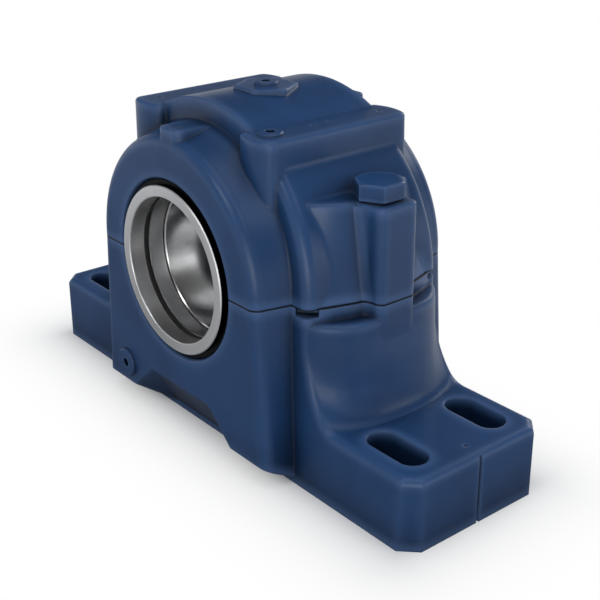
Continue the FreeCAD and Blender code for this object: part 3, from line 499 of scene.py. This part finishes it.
press_metal("roller_steel", grey(0.62, 0.02), grey(0.80, 0.02), gloss=0.10, size=0.0020,
            depth=0.000004, edge_radius=0.0005, grease=0.55)
press_metal("cage_steel", (0.30, 0.29, 0.28, 1.0), (0.46, 0.45, 0.44, 1.0), gloss=0.36,
            size=0.0030, depth=0.00005, edge_radius=0.0004, grease=0.60)
press_metal("lock_washer_steel", grey(0.26), grey(0.40), gloss=0.36, size=0.0030,
            depth=0.00004, edge_radius=0.0003, grease=0.50)
press_metal("dowel_steel", grey(0.50, 0.02), grey(0.66, 0.02), gloss=0.22, size=0.0020,
            depth=0.00001, edge_radius=0.0004, grease=0.30)
print("finishes so far:", len(SURFACE))

# %% [markdown]
# ## Rubber cords
# A black cord lies in a groove of each seal ring. Moulded rubber is nearly black and matt, and
# dust turns it slightly grey. Pure black would look like a gap in the ring, so the cord gets two
# dark greys and keeps some gloss along its round side.

# %% Rubber finish
RUBBER_DEEP, RUBBER_PALE = (0.006, 0.006, 0.007, 1.0), (0.014, 0.014, 0.015, 1.0)
DUST_GREY, DUST_SHARE = (0.05, 0.05, 0.05, 1.0), 0.25
RUBBER_DULL, RUBBER_SHINY = 0.62, 0.50
RUBBER_RISE, RUBBER_STRENGTH = 0.00006, 0.4

tree, shader = open_material("cord_rubber", **{"Specular IOR Level": 0.35})
edges = use(tree, edge_group, Radius=0.0003)
skin = use(tree, skin_group, Lump=0.0016, Grain=0.0004)
film = use(tree, grease_group, Amount=0.5)
colour = mix_colours(tree, skin["Cloud"], RUBBER_DEEP, RUBBER_PALE)
dusty = reckon(tree, "MULTIPLY", film["Dust"], DUST_SHARE)
feed(tree, shader.inputs["Base Color"], mix_colours(tree, dusty, colour, DUST_GREY))
feed(tree, shader.inputs["Roughness"], stretch(
    tree, skin["Cloud"], 0.0, 1.0, RUBBER_DULL, RUBBER_SHINY))
raise_skin(tree, shader, skin["Height"], RUBBER_RISE, RUBBER_STRENGTH, edges["Normal"])
print("finishes:", sorted(SURFACE))

# %% [markdown]
# ## Giving each piece its finish
# The frame's pieces arrive with one plain material each, named after its slot. Swapping the
# material in the slot keeps the mesh as it is.

# %% Swap the finishes
dressed = 0
for name, piece in sorted(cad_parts.items()):
    for holder in piece.material_slots:
        plain = holder.material.name.split(".")[0]
        if plain in SURFACE:
            holder.material = SURFACE[plain]
            dressed += 1
        else:
            print("no finish for", name, plain)
slots = sum(len(piece.material_slots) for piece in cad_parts.values())
print("dressed slots:", dressed, "of", slots)

# %% [markdown]
# ## A white sweep for a floor
# Product pictures stand on a white sweep under very wide lamps, so shadows are soft and short.
# Close to the block the floor is ordinary white that takes its shadow. Within a hand's width it
# turns into the same plain white as the backdrop, so no horizon shows. A sheet bent up behind
# the block would hide the horizon too, but only from one side. This floor works from all.

# %% Floor sheet
FLOOR_HALF = 6.0

floor_mesh = bpy.data.meshes.new("floor")
floor_mesh.from_pydata(
    [(-FLOOR_HALF, -FLOOR_HALF, 0.0), (FLOOR_HALF, -FLOOR_HALF, 0.0),
     (FLOOR_HALF, FLOOR_HALF, 0.0), (-FLOOR_HALF, FLOOR_HALF, 0.0)], [], [(0, 1, 2, 3)])
floor = bpy.data.objects.new("floor", floor_mesh)
bpy.context.scene.collection.objects.link(floor)
print("floor:", 2.0 * FLOOR_HALF, "m across")

# %% [markdown]
# Everything on the floor depends on one number: how far a point lies outside the rectangle of
# the foot. Taking the absolute place folds the four corners into one, the half sizes are
# subtracted, and the length of what is left is that distance.

# %% Distance from the foot
FOOT_HALF = (0.150, 0.045, 0.0)
NOWHERE = (0.0, 0.0, 0.0)

floor_material = bpy.data.materials.new("white sweep")
floor_material.use_nodes = True
tree = floor_material.node_tree
tree.nodes.clear()


def measure(operation, first, second=NOWHERE):
    node = put(tree, "ShaderNodeVectorMath", operation=operation)
    feed(tree, node.inputs[0], first)
    feed(tree, node.inputs[1], second)
    return node.outputs


place = put(tree, "ShaderNodeTexCoord").outputs["Object"]
folded = measure("ABSOLUTE", place)["Vector"]
past = measure("SUBTRACT", folded, FOOT_HALF)["Vector"]
outside = measure("MAXIMUM", past)["Vector"]
distance = measure("LENGTH", outside)["Value"]
print("floor distance starts at the foot's half sizes", FOOT_HALF[:2])

# %% [markdown]
# The floor has three jobs, and the kind of ray tells which one counts. In the picture it shows
# the shadow, which fades quickly into glowing white. In reflections it is painted darker beside
# the block and in front of it, a painted shade in what the paint reflects, so that the paint
# keeps its depth. As a source of bounced light it is a middle grey.

# %% Shade of the floor
SHADE_WIDTH = 0.095
SHADE_FALL = 4.0
LEAST_GLOW = 0.12
NEARBY = (0.10, 0.80)
AHEAD = (0.0, -0.08)
BESIDE = (0.05, 0.15)
MIRROR_WHITE, MIRROR_DIM = 0.97, 0.32

bare = stretch(tree, distance, 0.0, SHADE_WIDTH, 1.0, 0.0)
fading = reckon(tree, "POWER", bare, SHADE_FALL)
glowing = stretch(tree, fading, 0.0, 1.0, 1.0, LEAST_GLOW)
nearby = stretch(tree, distance, *NEARBY, 1.0, 0.0, soft=True)
backward = put(tree, "ShaderNodeSeparateXYZ", {"Vector": place}).outputs["Y"]
ahead = stretch(tree, backward, *AHEAD, soft=True)
beside = stretch(tree, distance, *BESIDE, 1.0, 0.0, soft=True)
# Painted shade on the floor as reflections see it, beside and in front of the block.
mirror_shade = reckon(tree, "MAXIMUM", reckon(tree, "MULTIPLY", nearby, ahead), beside)
mirrored = stretch(tree, mirror_shade, 0.0, 1.0, MIRROR_WHITE, MIRROR_DIM)
print("shade fades over", SHADE_WIDTH, "m")

# %% [markdown]
# A Light Path node says what kind of ray has arrived, and two mixes pick the white for it.
# The glow is added for rays from the camera alone, so it lights nothing.

# %% Floor material
PICTURE_WHITE = 0.85
BOUNCE_GREY = 0.42

path = put(tree, "ShaderNodeLightPath").outputs
in_mirror = reckon(tree, "ADD", path["Is Glossy Ray"], path["Is Transmission Ray"])
in_mirror = reckon(tree, "MINIMUM", in_mirror, 1.0)
unseen = put(tree, "ShaderNodeMix", {"Factor": in_mirror, "A": BOUNCE_GREY, "B": mirrored})
level = put(tree, "ShaderNodeMix", {
    "Factor": path["Is Camera Ray"], "A": unseen.outputs[0], "B": PICTURE_WHITE}).outputs[0]
white = put(tree, "ShaderNodeCombineColor", {"Red": level, "Green": level, "Blue": level})
matt = put(tree, "ShaderNodeBsdfDiffuse", {"Color": white.outputs[0]})
glow = put(tree, "ShaderNodeEmission", {"Color": (1.0, 1.0, 1.0, 1.0), "Strength": 1.0})
swap = put(tree, "ShaderNodeMixShader")
feed(tree, swap.inputs[0], reckon(tree, "MULTIPLY", glowing, path["Is Camera Ray"]))
feed(tree, swap.inputs[1], matt.outputs[0])
feed(tree, swap.inputs[2], glow.outputs[0])
leaving = put(tree, "ShaderNodeOutputMaterial")
tree.links.new(swap.outputs[0], leaving.inputs["Surface"])
floor_mesh.materials.append(floor_material)
print("floor material:", len(tree.nodes), "boxes")

# %% [markdown]
# ## Backdrop
# The camera sees plain white. Gloss sees a band of white at the horizon that darkens upward,
# as in a studio with lit walls and a dark ceiling, so upper faces keep their colour. Matt
# surfaces get a weak, slightly cool light from all round. One white for all three would be
# simpler, but it would lay a grey veil over the blue.

# %% Backdrop
WHITE, COOL_ROOM = (1.0, 1.0, 1.0, 1.0), (0.93, 0.96, 1.0, 1.0)
WALL_TOP = 0.25
CEILING_LEVEL = 0.06
ROOM_LEVEL = 0.54

world = bpy.data.worlds.new("white room")
bpy.context.scene.world = world
world.use_nodes = True
tree = world.node_tree
tree.nodes.clear()
path = put(tree, "ShaderNodeLightPath").outputs
direction = put(tree, "ShaderNodeTexCoord").outputs["Generated"]
upward = put(tree, "ShaderNodeSeparateXYZ", {"Vector": direction}).outputs["Z"]
walls = stretch(tree, upward, 0.0, WALL_TOP, 1.0, CEILING_LEVEL, soft=True)
in_gloss = put(tree, "ShaderNodeBackground", {"Color": WHITE, "Strength": walls})
shown = put(tree, "ShaderNodeBackground", {"Color": WHITE, "Strength": 1.0})
lighting = put(tree, "ShaderNodeBackground", {"Color": COOL_ROOM, "Strength": ROOM_LEVEL})
mirror = reckon(tree, "ADD", path["Is Glossy Ray"], path["Is Transmission Ray"], clamp=True)
inside = put(tree, "ShaderNodeMixShader")
feed(tree, inside.inputs[0], mirror)
feed(tree, inside.inputs[1], lighting.outputs[0])
feed(tree, inside.inputs[2], in_gloss.outputs[0])
room = put(tree, "ShaderNodeMixShader")
feed(tree, room.inputs[0], path["Is Camera Ray"])
feed(tree, room.inputs[1], inside.outputs[0])
feed(tree, room.inputs[2], shown.outputs[0])
leaving = put(tree, "ShaderNodeOutputWorld")
tree.links.new(room.outputs[0], leaving.inputs["Surface"])
print("backdrop:", world.name, len(tree.nodes), "boxes")

# %% [markdown]
# ## Lamps
# Wide round lamps give soft edges to every highlight. The strongest stands low in front on the
# right and models the walls, one behind draws the rims, and weaker ones from above and from
# the sides fill the rest. All of them look at the block's middle. A sun or small lamps would
# light it as well, but with the hard edges that such a picture never has.

# %% Lamps
AIM = Vector((0.0, 0.0, 0.08))
NEUTRAL = (1.0, 1.0, 1.0)
WARM = (1.0, 0.99, 0.97)
COOL = (0.98, 0.99, 1.0)


def soft_lamp(name, where, across, watts, colour=NEUTRAL):
    lamp = bpy.data.lights.new(name, "AREA")
    lamp.shape = "DISK"
    lamp.size = across
    lamp.energy = watts
    lamp.color = colour
    holder = bpy.data.objects.new(name, lamp)
    holder.location = where
    holder.rotation_mode = "QUATERNION"
    holder.rotation_quaternion = (AIM - Vector(where)).to_track_quat("-Z", "Y")
    bpy.context.scene.collection.objects.link(holder)
    return holder


lamps = [
    soft_lamp("lamp front", where=(1.05, -1.05, 0.12), across=0.8, watts=6.0, colour=WARM),
    soft_lamp("lamp front high", where=(0.15, -1.20, 1.15), across=0.5, watts=3.2),
    soft_lamp("lamp left", where=(-1.30, -1.00, 0.75), across=0.9, watts=1.2, colour=COOL),
    soft_lamp("lamp right", where=(1.10, 0.10, 1.40), across=0.7, watts=1.6),
    soft_lamp("lamp rear right", where=(1.20, 0.85, 0.30), across=0.5, watts=1.0),
    soft_lamp("lamp behind", where=(-0.20, 1.50, 0.80), across=0.8, watts=5.0),
    soft_lamp("lamp above", where=(0.25, 0.0, 1.80), across=1.2, watts=3.6),
]
print("lamps:", [lamp.name for lamp in lamps])

# %% [markdown]
# ## The camera
# The view looks down at the block from its near right corner. Its place, its three angles, its
# lens and its small shift were solved from edges of known shape in the photograph: feet, joint,
# bore rings. With them the model falls on the photograph to about one picture point, which
# placing a camera by eye can't do. The angles are in degrees: a turn about the upright, a dip
# below the level, and a slight roll.

# %% Camera
CAMERA_PLACE = (0.45537, -0.34653, 0.31449)
CAMERA_TURN = 50.88972
CAMERA_DIP = 23.97212
CAMERA_ROLL = -0.38689
LENS, SENSOR = 68.59, 36.0
SHIFT_RIGHT, SHIFT_UP = -0.00642, 0.00254
NEAREST = 0.01

camera_data = bpy.data.cameras.new("camera")
camera_data.lens = LENS
camera_data.sensor_width = SENSOR
camera_data.shift_x = SHIFT_RIGHT
camera_data.shift_y = SHIFT_UP
camera_data.clip_start = NEAREST
camera = bpy.data.objects.new("camera", camera_data)
bpy.context.scene.collection.objects.link(camera)
turn = Matrix.Rotation(math.radians(CAMERA_TURN), 3, "Z")
dip = Matrix.Rotation(math.radians(90.0 - CAMERA_DIP), 3, "X")
roll = Matrix.Rotation(math.radians(CAMERA_ROLL), 3, "Z")
camera.rotation_mode = "QUATERNION"
camera.rotation_quaternion = (turn @ dip @ roll).to_quaternion()
camera.location = CAMERA_PLACE
bpy.context.scene.camera = camera
bpy.context.scene.view_settings.view_transform = "Standard"
print("camera:", [round(part, 3) for part in camera.location], "lens", camera_data.lens)
